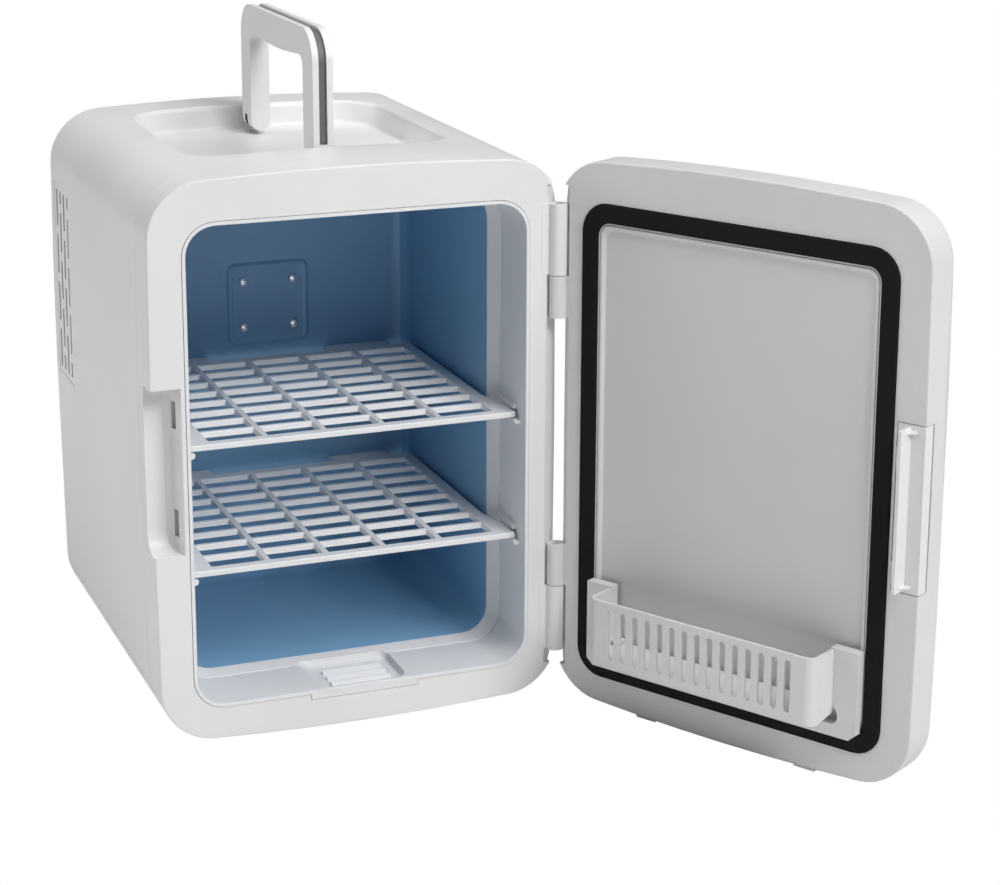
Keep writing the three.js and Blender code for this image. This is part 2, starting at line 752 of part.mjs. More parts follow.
function acInlet() {
  const z = fromBase(SOCKETS.z);
  const y = fromFront(DEPTH);
  const shell = join(
    box(SOCKETS.inlet - 12, SOCKETS.inlet + 12, y - 20, y, z - 8, z + 8),
    box(SOCKETS.inlet - 15, SOCKETS.inlet + 15, y - 0.2, y + 1.4, z - 11, z + 11),
  );
  const mouth = roundedBlock(SOCKETS.inlet - 9, SOCKETS.inlet + 9, z - 5, z + 5, 4.9, y - 15, y + 3, 4);
  const blades = [-4, 4].map((dx) => bar('y', 1.2, y - 17, y - 2, SOCKETS.inlet + dx, z, 8));
  return join(cut(shell, mouth), ...blades);
}

function dcSocket() {
  const z = fromBase(SOCKETS.z);
  const y = fromFront(DEPTH);
  const shell = join(
    box(SOCKETS.dc - 7, SOCKETS.dc + 7, y - 14, y, z - 7, z + 7),
    box(SOCKETS.dc - 9, SOCKETS.dc + 9, y - 0.2, y + 1.2, z - 9, z + 9),
  );
  return join(cut(shell, bar('y', 5, y - 11, y + 3, SOCKETS.dc, z, 16)), bar('y', 1.1, y - 12, y - 2, SOCKETS.dc, z, 8));
}

// The rocker turns about X: its back face is two planes that meet at a shallow valley.
function modeSwitch() {
  const z = fromBase(SOCKETS.z);
  const y = fromFront(DEPTH - 4);
  const outline = [
    [y - 3.5, z - 2],
    [y - 1, z - 5.6],
    [y + 4.8, z - 5.8],
    [y + 3.4, z],
    [y + 4.8, z + 5.8],
    [y - 1, z + 5.6],
    [y - 3.5, z + 2],
  ];
  const left = prism('x', outline.slice(0, 4).concat([[y - 3.5, z]]), SOCKETS.rocker - 14.8, SOCKETS.rocker + 14.8);
  const right = prism('x', [[y - 3.5, z]].concat(outline.slice(3)), SOCKETS.rocker - 14.8, SOCKETS.rocker + 14.8);
  return join(left, right);
}

// ---- shelves ------------------------------------------------------------------------------
// A flat grid: a rim with two ears in front, two tabs behind and slots with a slightly sloped rear wall.
function shelf(top) {
  const z1 = fromBase(top);
  const z0 = z1 - SHELF.thick;
  const { half, earHalf, front, back, tab } = SHELF;
  const side = [
    [earHalf, front],
    [earHalf, front + 18],
    [half + 2.6, front + 28],
    [half, front + 42],
    [half, back],
  ];
  const mirrored = side.map(([x, y]) => [-x, y]).reverse();
  const outline = [...side, ...mirrored].map(([x, y]) => [x, fromFront(y)]);
  const behind = (x0, x1) => box(x0, x1, fromFront(back - 1), fromFront(back + tab), z0 + 1, z1);
  const plate = join(prism('z', outline, z0, z1), behind(-82, -40), behind(40, 82));
  const slot = SHELF_SLOT;
  const holes = [];
  for (let column = 0; column < slot.columns; column++) {
    const x = (column - (slot.columns - 1) / 2) * slot.pitchX;
    for (let row = 0; row < slot.rows; row++) {
      const y0 = slot.firstY + row * slot.pitchY;
      const ring = (z, slope) =>
        [
          [x - slot.long / 2, y0],
          [x + slot.long / 2, y0],
          [x + slot.long / 2, y0 + slot.deep + slope],
          [x - slot.long / 2, y0 + slot.deep + slope],
        ].map(([u, v]) => new THREE.Vector3(u, fromFront(v), z));
      holes.push(loft([ring(z0 - 1, -0.4), ring(z1 + 1, 0.4)]));
    }
  }
  return cut(plate, ...holes);
}

// ---- handle -------------------------------------------------------------------------------
// The upside-down U of the handle in the YZ plane, shrunk all round by inset.
function handleOutline(inset, legBottom) {
  const { front, back, top } = HANDLE;
  const radius = 20 - inset;
  const y0 = fromFront(front + inset);
  const y1 = fromFront(back - inset);
  const z1 = fromBase(top - inset);
  const arc = (cy, cz, r, from, to, steps) =>
    Array.from({ length: steps + 1 }, (_, k) => {
      const angle = THREE.MathUtils.degToRad(from + ((to - from) * k) / steps);
      return [cy + r * Math.cos(angle), cz + r * Math.sin(angle)];
    });
  return [
    [y0, legBottom],
    [y1, legBottom],
    ...arc(y1 - radius, z1 - radius, radius, 0, 90, 8),
    ...arc(y0 + radius, z1 - radius, radius, 90, 180, 8),
  ];
}

function handleInner(legBottom) {
  const { front, back, top, leg, grip } = HANDLE;
  const y0 = fromFront(front + leg);
  const y1 = fromFront(back - leg);
  const z1 = fromBase(top - grip);
  const radius = 7;
  const arc = (cy, cz, from) =>
    Array.from({ length: 5 }, (_, k) => {
      const angle = THREE.MathUtils.degToRad(from + (90 * k) / 4);
      return [cy + radius * Math.cos(angle), cz + radius * Math.sin(angle)];
    });
  // the grip's underside swells down a little between the legs
  const swell = [1, 2, 3, 4, 5].map((k) => {
    const t = k / 6;
    return [y1 - radius + (y0 - y1 + 2 * radius) * t, z1 - HANDLE.swell * Math.sin(Math.PI * t)];
  });
  return [
    [y0, legBottom],
    [y1, legBottom],
    ...arc(y1 - radius, z1 - radius, 0),
    ...swell,
    ...arc(y0 + radius, z1 - radius, 90),
  ];
}

function handle() {
  const { half, front, back, leg, pivotZ } = HANDLE;
  const z = fromBase(pivotZ);
  const arch = cut(prism('x', handleOutline(0, z), -half, half), prism('x', handleInner(z - 2), -half - 1, half + 1));
  const feet = [
    [front, front + leg],
    [back - leg, back],
  ].map(([a, b]) => bar('y', half, fromFront(a), fromFront(b), 0, z, 16));
  const groove = cut(
    prism('x', handleOutline(-3, z + 7), -2.4, 2.4),
    prism('x', handleOutline(4, z), -3, 3),
  );
  const spy = box(-7, -1, fromFront(back - 11), fromFront(back - 6), z - 3.4, z + 3.2);
  return cut(join(arch, ...feet), groove, handlePivotBores(), spy);
}

function handleTrim() {
  const z = fromBase(HANDLE.pivotZ) + 7.4;
  return cut(prism('x', handleOutline(1.6, z), -2.1, 2.1), prism('x', handleOutline(3.7, z - 3), -3, 3));
}

// ---- door, drawn closed -------------------------------------------------------------------
function doorFrame() {
  const inner = fromFront(DOOR.inner);
  const outer = fromFront(DOOR.outer);
  const body = loft([
    bowedRing(1.2, inner),
    bowedRing(0.3, inner - 0.5),
    bowedRing(0, inner - 1.3),
    bowedRing(0, outer + 5),
    bowedRing(0.6, outer + 2.6),
    bowedRing(1.9, outer + 0.9),
    bowedRing(4, outer),
  ]);
  const pocket = bowedBlock(DOOR.skirt, outer - 1, inner - DOOR.faceThick);
  const hingeWall = box(
    104,
    130,
    outer - 2,
    inner,
    fromBase(HINGE_CHAMFER.low - 4),
    fromBase(HINGE_CHAMFER.high + 4),
  );
  const latchBlock = box(-130, -103.5, fromFront(-22), inner, fromBase(LATCH.low - 3), fromBase(LATCH.high + 3));
  const seat = GASKET.band + 0.3;
  const groove = cut(
    roundedBlock(
      -GASKET.half - GAP,
      GASKET.half + GAP,
      fromBase(GASKET.low - GAP),
      fromBase(GASKET.high + GAP),
      GASKET.radius + GAP,
      inner - 2.2,
      inner + 1,
    ),
    roundedBlock(
      -GASKET.half + seat,
      GASKET.half - seat,
      fromBase(GASKET.low + seat),
      fromBase(GASKET.high - seat),
      GASKET.radius - 9,
      inner - 3,
      inner + 2,
    ),
  );
  const windowInset = GASKET.band + 1.1;
  const window = roundedBlock(
    -GASKET.half + windowInset,
    GASKET.half - windowInset,
    fromBase(GASKET.low + windowInset),
    fromBase(GASKET.high - windowInset),
    7,
    inner - 8,
    inner + 1,
  );
  const z0 = fromBase(LATCH.low - 0.5);
  const z1 = fromBase(LATCH.high + 0.5);
  const latchRoom = [
    box(-121.8, -LATCH.edge + 0.5, fromFront(-20), inner + 2, z0, z1),
    box(-130, -121.7, fromFront(-10.6), inner + 2, z0, z1),
    bar('z', 1.5, z0 - 2.5, z1 + 2.5, LATCH.pivotX, fromFront(LATCH.pivotY), 10),
  ];
  const shaped = cut(
    body,
    cut(pocket, latchBlock, hingeWall),
    groove,
    window,
    ...latchRoom,
    hingeChamfer(-1, inner),
  );
  return cut(join(shaped, knuckle(KNUCKLES.doorTop, -1), knuckle(KNUCKLES.doorBottom, -1)), pinBore());
}

function doorFrontPanel() {
  const outer = fromFront(DOOR.outer);
  const inset = DOOR.skirt + GAP;
  const plate = loft([bowedRing(inset, outer + 2.5), bowedRing(inset, outer), bowedRing(inset + 1, outer - 0.6)]);
  const hingeSide = box(103.7, 130, outer - 4, outer + 4, fromBase(HINGE_CHAMFER.low - 5), fromBase(HINGE_CHAMFER.high + 5));
  return cut(plate, hingeSide);
}

function doorFoam() {
  const y0 = fromFront(DOOR.outer) + 2.9;
  const y1 = fromFront(DOOR.inner - DOOR.faceThick) - 0.4;
  const latchBlock = box(-130, -103, y0 - 1, y1 + 1, fromBase(LATCH.low - 3.5), fromBase(LATCH.high + 3.5));
  const hingeWall = box(103.6, 130, y0 - 1, y1 + 1, fromBase(HINGE_CHAMFER.low - 5), fromBase(HINGE_CHAMFER.high + 5));
  return cut(bowedBlock(DOOR.skirt + 0.4, y0, y1), latchBlock, hingeWall);
}

function doorGasket() {
  const inner = fromFront(DOOR.inner);
  const { half, low, high, band, radius, proud } = GASKET;
  const ring = (inset, r, y0, y1) =>
    roundedBlock(-half + inset, half - inset, fromBase(low + inset), fromBase(high - inset), r, y0, y1);
  return cut(ring(0, radius, inner - 1.9, inner + proud), ring(band, radius - 8.6, inner - 3, inner + 3));
}

function doorLiner() {
  const inner = fromFront(DOOR.inner);
  const { half, low, high, band } = GASKET;
  const ring = (inset, r, y) =>
    roundedRing(-half + inset, half - inset, fromBase(low + inset), fromBase(high - inset), r, y);
  const edge = band + 1.5;
  const plate = loft([ring(edge, 6.8, inner - 4.6), ring(edge, 6.8, inner + 0.2)]);
  const sunk = loft([ring(edge + 2.9, 6, inner - 2), ring(edge + 1.6, 5.6, inner + 0.4)]);
  return cut(plate, sunk);
}

function doorBasket() {
  const { half, low, high, depth, wall } = BASKET;
  const back = fromFront(DOOR.inner) + 0.6;
  const front = fromFront(DOOR.inner) + 1 + depth;
  const z0 = fromBase(low);
  const z1 = fromBase(high);
  const corner = 6;
  // plan of the tray: straight at the back, rounded at its two front corners
  const plan = (inset) => {
    const w = half - inset;
    const y1 = front - inset;
    const r = Math.max(corner - inset, 1);
    const arc = (cx, from) =>
      Array.from({ length: 5 }, (_, k) => {
        const angle = THREE.MathUtils.degToRad(from + (90 * k) / 4);
        return [cx + r * Math.cos(angle), y1 - r + r * Math.sin(angle)];
      });
    return [[-w, back], [w, back], ...arc(w - r, 0), ...arc(-w + r, 90)];
  };
  // the underside rises towards the door
  const below = (z, y0) => {
    const outline = [
      [y0, z0 - 1],
      [y0, z + BASKET.rise],
      [back, z + BASKET.rise],
      [front - corner, z],
      [front, z],
      [front, z0 - 1],
    ];
    return prism('x', outline, -half, half);
  };
  const room = plan(wall).map(([x, y]) => [x, y === back ? back - 2 : y]);
  const inside = cut(prism('z', room, z0 + wall, z1 + 2), below(z0 + wall, back - 3));
  const tray = cut(prism('z', plan(0), z0, z1), below(z0, back - 1), inside);
  const slots = Array.from({ length: BASKET.slots }, (_, k) => {
    const x = (k - (BASKET.slots - 1) / 2) * BASKET.slotPitch;
    return uprightSlot(x, fromBase(45), fromBase(76), 4.2, front - 6, front + 2);
  });
  return cut(join(tray, basketMount(back)), ...slots);
}

// The frame behind the basket: a rail under it and an upright ear with a hooking hole on each side.
function basketMount(back) {
  const { half, low, high } = BASKET;
  const { half: earHalf, foot, thick } = BASKET_FRAME;
  const railOutline = [
    [-earHalf, fromBase(foot + 4)],
    [-earHalf + 4.6, fromBase(foot)],
    [earHalf - 4.6, fromBase(foot)],
    [earHalf, fromBase(foot + 4)],
    [earHalf, fromBase(low + 8)],
    [-earHalf, fromBase(low + 8)],
  ];
  const rail = prism('y', railOutline, back, back + thick);
  const ears = [-earHalf, half - 2].map((x) =>
    box(x, x + earHalf - half + 2, back, back + thick, fromBase(low), fromBase(high + 1)),
  );
  const overGasket = box(-earHalf - 1, earHalf + 1, back - 1, back + 1.4, fromBase(foot - 1), fromBase(39.6));
  const window = box(-half + 8, half - 8, back - 1, back + thick + 1, fromBase(low + 1), fromBase(low + 9));
  const holes = [-1, 1].map((side) => {
    const end = (x) => bar('y', 5.4, back - 1, back + thick + 1, side * x, fromBase(41), 20);
    return end(71).add(end(75.4)).hull();
  });
  return cut(join(rail, ...ears), overGasket, window, ...holes);
}

function latchLever() {
  const inner = fromFront(DOOR.inner);
  const z0 = fromBase(LATCH.low);
  const z1 = fromBase(LATCH.high);
  const middle = (z0 + z1) / 2;
  const plate = box(-123.4, -LATCH.edge, inner - 2.5, inner, z0, z1);
  const heel = box(-123.4, -118, fromFront(-10), inner, z0, z1);
  const tail = box(-119.6, -117.6, fromFront(-17.5), fromFront(-8), middle - 8, middle + 8);
  const ribX = -LATCH.rib;
  const rib = box(ribX, ribX + 2, inner - 1, fromFront(LATCH.ribTip), z0 + 1.5, z1 - 1.5);
  const hooks = [133.5, 198].map((z) => {
    const outline = [
      [ribX + 1, fromFront(LATCH.ribTip)],
      [ribX + 1, fromFront(4.5)],
      [ribX + 3.6, fromFront(5.5)],
      [ribX + 3.6, fromFront(6.6)],
    ];
    return prism('z', outline, fromBase(z - 6.5), fromBase(z + 6.5));
  });
  const gussets = [z0 + 3, z1 - 4.6].map((z) => {
    const outline = [
      [ribX + 0.5, inner - 0.5],
      [ribX - 4.5, inner - 0.5],
      [ribX + 0.5, fromFront(4)],
    ];
    return prism('z', outline, z, z + 1.6);
  });
  const bore = bar('z', 1.35, z0 - 1, z1 + 1, LATCH.pivotX, fromFront(LATCH.pivotY), 10);
  return cut(join(plate, heel, tail, rib, ...hooks, ...gussets), bore);
}

function latchSpring() {
  class Helix extends THREE.Curve {
    getPoint(t, target = new THREE.Vector3()) {
      const angle = t * turns * 2 * Math.PI;
      return target.set(x0 + t * length, y + 2.2 * Math.cos(angle), z + 2.2 * Math.sin(angle));
    }
  }
  const turns = 4;
  const length = 9.6;
  const x0 = -117.2;
  const y = fromFront(-14.5);
  const z = fromBase((LATCH.low + LATCH.high) / 2);
  const section = new THREE.Shape();
  section.absarc(0, 0, 0.45, 0, 2 * Math.PI);
  const geometry = new THREE.ExtrudeGeometry(section, {
    extrudePath: new Helix(),
    steps: 44,
    curveSegments: 3,
    bevelEnabled: false,
  });
  return toSolid(geometry);
}

function doorPad(x) {
  const z = fromBase(0);
  return roundedBlock(x - 7, x + 7, z - 0.9, z + 0.5, 0.4, fromFront(-16), fromFront(-4.2), 2);
}

// ---- assembly -----------------------------------------------------------------------------
const z = fromBase(COOLER.z);
add(fridge, 'cabinet_shell', cabinetShell(), WHITE);
add(fridge, 'front_bezel', frontBezel(), WHITE);
add(fridge, 'inner_collar', innerCollar(), WHITE);
add(fridge, 'inner_liner', innerLiner(), BLUE);
add(fridge, 'insulation_foam', insulationFoam(), FOAM);
add(fridge, 'vent_grille_left', ventGrille(-1), WHITE);
add(fridge, 'vent_grille_right', ventGrille(1), WHITE);
for (const [name, x, y] of [
  ['front_left', -85, 38],
  ['front_right', 85, 38],
  ['rear_left', -85, 235],
  ['rear_right', 85, 235],
]) {
  add(fridge, `foot_${name}`, foot(x, fromFront(y)), BLACK);
}
add(fridge, 'cold_plate', coldPlate(), BLUE);
PLATE_SCREWS.forEach(([dx, dz], k) => {
  const head = screw(COOLER.x + dx, fromFront(LINER.back - 1.1), z + dz, 1);
  add(fridge, `cold_plate_screw_${k + 1}`, head, STEEL);
});
const block = { y0: fromFront(LINER.back + 5), y1: fromFront(FOAM_BACK) };
add(fridge, 'cold_block', box(COOLER.x - 20, COOLER.x + 20, block.y0, block.y1, z - 20, z + 20), ALUMINIUM);
const peltier = box(COOLER.x - 20, COOLER.x + 20, block.y1 + GAP, block.y1 + 4, z - 20, z + 20);
add(fridge, 'peltier_module', peltier, finish(0xe6e6e2, 0.6));
add(fridge, 'heat_sink', heatSink(block.y1 + 4.3, fromFront(236)), ALUMINIUM);
add(fridge, 'fan_frame', fanFrame(fromFront(236.4), fromFront(251.4)), BLACK);
add(fridge, 'fan_rotor', fanRotor(fromFront(237.6), fromFront(247.8)), BLACK);
add(fridge, 'power_board', powerBoard(), BOARD);
add(
  fridge,
  'fan_lead',
  lead(
    [
      [35, fromFront(226), fromBase(131)],
      [37, fromFront(232), fromBase(140)],
      [42, fromFront(243), fromBase(152)],
      [36, fromFront(245), fromBase(169.4)],
    ],
    1.3,
  ),
  BLACK,
);
add(fridge, 'rear_cover', rearCover(), WHITE);
add(fridge, 'ac_inlet', acInlet(), BLACK);
add(fridge, 'dc_socket', dcSocket(), BLACK);
add(fridge, 'mode_switch', modeSwitch(), BLACK);
COVER_SCREWS.forEach(([x, height], k) => {
  const head = screw(x, fromFront(DEPTH - 0.2), fromBase(height), -1, 3.4);
  add(fridge, `rear_cover_screw_${k + 1}`, head, STEEL);
});
SHELF.tops.forEach((top, k) => add(fridge, ['shelf_upper', 'shelf_lower'][k], shelf(top), BRIGHT_WHITE));
add(fridge, 'handle', handle(), WHITE);
add(fridge, 'handle_trim', handleTrim(), DARK_GREY);
const pivot = fromBase(HANDLE.pivotZ);
add(fridge, 'handle_pin_front', bar('y', HINGE.pin, fromFront(61.2), fromFront(78.5), 0, pivot), STEEL);
add(fridge, 'handle_pin_rear', bar('y', HINGE.pin, fromFront(206.2), fromFront(232), 0, pivot), STEEL);
const pinTop = bar('z', HINGE.pin, fromBase(240), fromBase(299), HINGE.x, HINGE.y);
const pinBottom = bar('z', HINGE.pin, fromBase(35), fromBase(94), HINGE.x, HINGE.y);
add(fridge, 'hinge_pin_top', pinTop, STEEL);
add(fridge, 'hinge_pin_bottom', pinBottom, STEEL);

// The door's pieces are drawn closed in one group, which turns about the hinge line.
const swing = new THREE.Group();
swing.position.set(HINGE.x, HINGE.y, 0);
swing.rotation.z = THREE.MathUtils.degToRad(HINGE.open);
const door = new THREE.Group();
door.position.set(-HINGE.x, -HINGE.y, 0);
swing.add(door);
fridge.add(swing);
add(door, 'door_frame', doorFrame(), WHITE);
add(door, 'door_front_panel', doorFrontPanel(), WHITE);
add(door, 'door_foam', doorFoam(), FOAM);
add(door, 'door_gasket', doorGasket(), BLACK);
add(door, 'door_liner', doorLiner(), WHITE);
add(door, 'door_basket', doorBasket(), BRIGHT_WHITE);
add(door, 'latch_lever', latchLever(), WHITE);
const latchPin = bar(
  'z',
  1.05,
  fromBase(LATCH.low - 2.5),
  fromBase(LATCH.high + 2.5),
  LATCH.pivotX,
  fromFront(LATCH.pivotY),
  10,
);
add(door, 'latch_pin', latchPin, STEEL);
add(door, 'latch_spring', latchSpring(), STEEL);
add(door, 'door_pad_left', doorPad(-55), WHITE);
add(door, 'door_pad_right', doorPad(55), WHITE);

export default fridge;
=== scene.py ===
"""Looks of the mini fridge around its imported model: camera, light, floor, surfaces and materials."""
import math

import bmesh
import bpy
from mathutils import Matrix, Vector


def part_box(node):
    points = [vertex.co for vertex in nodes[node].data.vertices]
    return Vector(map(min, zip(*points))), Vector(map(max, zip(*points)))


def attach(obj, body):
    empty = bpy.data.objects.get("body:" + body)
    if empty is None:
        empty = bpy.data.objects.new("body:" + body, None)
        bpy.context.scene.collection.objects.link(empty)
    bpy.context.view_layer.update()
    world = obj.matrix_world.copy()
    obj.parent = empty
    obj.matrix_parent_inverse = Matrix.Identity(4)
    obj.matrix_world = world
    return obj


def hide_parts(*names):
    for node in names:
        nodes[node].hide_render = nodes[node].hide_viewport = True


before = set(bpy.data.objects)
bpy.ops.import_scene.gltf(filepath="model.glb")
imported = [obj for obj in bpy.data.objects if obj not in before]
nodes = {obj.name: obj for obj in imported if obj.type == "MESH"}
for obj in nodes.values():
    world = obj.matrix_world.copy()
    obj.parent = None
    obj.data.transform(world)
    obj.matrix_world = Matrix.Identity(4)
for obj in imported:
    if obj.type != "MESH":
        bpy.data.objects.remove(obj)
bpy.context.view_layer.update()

SHELVES = ("shelf_upper", "shelf_lower")


def link(thing):
    """Adds an object to the scene."""
    bpy.context.scene.collection.objects.link(thing)


def object_from(bm, name, material):
    """Turns a finished bmesh into an object of one material in the scene."""
    mesh = bpy.data.meshes.new(name)
    bm.to_mesh(mesh)
    bm.free()
    mesh.materials.append(material)
    thing = bpy.data.objects.new(name, mesh)
    link(thing)
    return thing


# ---- camera -------------------------------------------------------------------------------
CAMERA_PLACE = (-0.424, -1.4213, 0.5938)
CAMERA_AZIMUTH = 21.51
CAMERA_PITCH = 14.81
CAMERA_ROLL = 0.21
CAMERA_LENS = 88.65
CAMERA_SENSOR = 36.0
CAMERA_SHIFT_Y = -0.10
CAMERA_CLIP = (0.05, 50.0)


def make_camera():
    """Stands the camera in front of the open fridge, turned, tilted and rolled in degrees."""
    data = bpy.data.cameras.new("camera")
    data.lens = CAMERA_LENS
    data.sensor_width = CAMERA_SENSOR
    data.shift_y = CAMERA_SHIFT_Y
    data.clip_start, data.clip_end = CAMERA_CLIP
    camera = bpy.data.objects.new("camera", data)
    azimuth, pitch, roll = (math.radians(a) for a in (CAMERA_AZIMUTH, CAMERA_PITCH, CAMERA_ROLL))
    forward = Vector((
        math.sin(azimuth) * math.cos(pitch),
        math.cos(azimuth) * math.cos(pitch),
        -math.sin(pitch),
    ))
    level = Vector((math.cos(azimuth), -math.sin(azimuth), 0.0))
    upright = level.cross(forward)
    right = level * math.cos(roll) + upright * math.sin(roll)
    up = right.cross(forward)
    turn = Matrix((right, up, -forward)).transposed().to_4x4()
    camera.matrix_world = Matrix.Translation(CAMERA_PLACE) @ turn
    link(camera)
    bpy.context.scene.camera = camera


# ---- light and floor ----------------------------------------------------------------------
WHITE = (1.0, 1.0, 1.0, 1.0)
WORLD_STRENGTH = 0.02
BACKDROP_STRENGTH = 1.0
FLOOR_HALF = 12.0
FLOOR_COLOR = (0.9, 0.9, 0.9, 1.0)
FLOOR_ROUGHNESS = 0.9

LIGHT_AIM = (0.05, -0.05, 0.17)
# Each light's name, place, width and height in metres, and power in watts.
LIGHTS = (
    ("key_front_right", (0.8, -1.9, 1.9), (1.2, 1.0), 46.0),
    ("top_front", (0.2, -1.1, 2.2), (1.2, 1.0), 8.5),
    ("top_soft", (0.1, 0.2, 2.0), (1.8, 1.8), 15.0),
    ("back_left", (-2.0, 1.0, 1.2), (1.4, 1.2), 20.4),
    ("left", (-2.1, -0.6, 0.8), (1.4, 1.2), 2.4),
    ("right_high", (1.3, -0.6, 1.9), (1.2, 1.2), 1.5),
)
GLINT = ("glint", (-0.7, -2.3, 0.42), (1.2, 0.5), 9.0)


def make_world():
    """Faint white surroundings; the camera itself sees pure white, as on a cut-out sheet."""
    world = bpy.data.worlds.new("studio")
    bpy.context.scene.world = world
    world.use_nodes = True
    tree = world.node_tree
    around = tree.nodes["Background"]
    around.inputs["Color"].default_value = WHITE
    around.inputs["Strength"].default_value = WORLD_STRENGTH
    seen = tree.nodes.new("ShaderNodeBackground")
    seen.inputs["Color"].default_value = WHITE
    seen.inputs["Strength"].default_value = BACKDROP_STRENGTH
    path = tree.nodes.new("ShaderNodeLightPath")
    mix = tree.nodes.new("ShaderNodeMixShader")
    tree.links.new(path.outputs["Is Camera Ray"], mix.inputs[0])
    tree.links.new(around.outputs[0], mix.inputs[1])
    tree.links.new(seen.outputs[0], mix.inputs[2])
    tree.links.new(mix.outputs[0], tree.nodes["World Output"].inputs["Surface"])
    view = bpy.context.scene.view_settings
    view.view_transform = "Standard"
    view.look = "None"
    view.exposure = 0.0


def make_floor():
    """A white sheet that only bounces light: the object stands on plain white."""
    material = bpy.data.materials.new("studio_floor")
    material.use_nodes = True
    shader = material.node_tree.nodes["Principled BSDF"]
    shader.inputs["Base Color"].default_value = FLOOR_COLOR
    shader.inputs["Roughness"].default_value = FLOOR_ROUGHNESS
    bm = bmesh.new()
    bmesh.ops.create_grid(bm, x_segments=1, y_segments=1, size=FLOOR_HALF)
    floor = object_from(bm, "studio_floor", material)
    floor.visible_camera = False


def area_light(name, place, size, power):
    """A rectangular light that faces the fridge and that the camera doesn't see."""
    data = bpy.data.lights.new(name, "AREA")
    data.shape = "RECTANGLE"
    data.size, data.size_y = size
    data.energy = power
    light = bpy.data.objects.new(name, data)
    light.location = place
    aim = Vector(LIGHT_AIM) - Vector(place)
    light.rotation_mode = "QUATERNION"
    light.rotation_quaternion = aim.to_track_quat("-Z", "Y")
    link(light)
    light.visible_camera = False
    return light


def make_lights():
    """The lights, and a low one in front that only adds shine."""
    for light in LIGHTS:
        area_light(*light)
    glint = area_light(*GLINT)
    glint.visible_diffuse = False


# ---- materials ----------------------------------------------------------------------------
CLOUD_SCALE = 9.0
CLOUD_DETAIL = 5.0
CLOUD_EDGES = (0.35, 0.65)
MOTTLE = 0.02
GLOSS_CHANGE = 0.1
GRAIN_SCALE = 1400.0
GRAIN_DETAIL = 3.0
GRAIN_DEPTH = 0.0002


def linear(value):
    """A colour value from 0 to 255 on the screen as linear light from 0 to 1."""
    value = value / 255.0
    return value / 12.92 if value <= 0.04045 else ((value + 0.055) / 1.055) ** 2.4


def rgb(red, green, blue):
    return (linear(red), linear(green), linear(blue), 1.0)


def noise(tree, place, scale, detail):
    """A noise texture that is fixed to the object."""
    texture = tree.nodes.new("ShaderNodeTexNoise")
    texture.inputs["Scale"].default_value = scale
    texture.inputs["Detail"].default_value = detail
    tree.links.new(place.outputs["Object"], texture.inputs["Vector"])
    return texture


def add_cloudiness(tree, cloud, color, roughness):
    """Lets the colour and the gloss drift a little with the cloud texture."""
    shader = tree.nodes["Principled BSDF"]
    ramp = tree.nodes.new("ShaderNodeValToRGB")
    shades = (
        tuple(c * (1.0 - MOTTLE) for c in color[:3]) + (1.0,),
        tuple(min(c * (1.0 + MOTTLE), 1.0) for c in color[:3]) + (1.0,),
    )
    for k, edge in enumerate(CLOUD_EDGES):
        ramp.color_ramp.elements[k].position = edge
    for k, shade in enumerate(shades):
        ramp.color_ramp.elements[k].color = shade
    tree.links.new(cloud.outputs["Fac"], ramp.inputs["Fac"])
    tree.links.new(ramp.outputs["Color"], shader.inputs["Base Color"])
    gloss = tree.nodes.new("ShaderNodeMapRange")
    gloss.inputs["To Min"].default_value = roughness * (1.0 - GLOSS_CHANGE)
    gloss.inputs["To Max"].default_value = min(roughness * (1.0 + GLOSS_CHANGE), 1.0)
    tree.links.new(cloud.outputs["Fac"], gloss.inputs["Value"])
    tree.links.new(gloss.outputs["Result"], shader.inputs["Roughness"])


def add_grain(tree, fine, strength):
    """Roughens the surface with the fine texture."""
    bump = tree.nodes.new("ShaderNodeBump")
    bump.inputs["Strength"].default_value = strength
    bump.inputs["Distance"].default_value = GRAIN_DEPTH
    tree.links.new(fine.outputs["Fac"], bump.inputs["Height"])
    tree.links.new(bump.outputs["Normal"], tree.nodes["Principled BSDF"].inputs["Normal"])


def moulded(name, color, roughness, grain=0.0, grain_scale=GRAIN_SCALE, shine=0.5, metallic=0.0):
    """Plastic, rubber or metal: a faint cloudiness in colour and gloss, and a fine grain."""
    material = bpy.data.materials.new(name)
    material.use_nodes = True
    tree = material.node_tree
    shader = tree.nodes["Principled BSDF"]
    shader.inputs["Metallic"].default_value = metallic
    shader.inputs["Specular IOR Level"].default_value = shine
    place = tree.nodes.new("ShaderNodeTexCoord")
    add_cloudiness(tree, noise(tree, place, CLOUD_SCALE, CLOUD_DETAIL), color, roughness)
    if grain:
        add_grain(tree, noise(tree, place, grain_scale, GRAIN_DETAIL), grain)
    return material


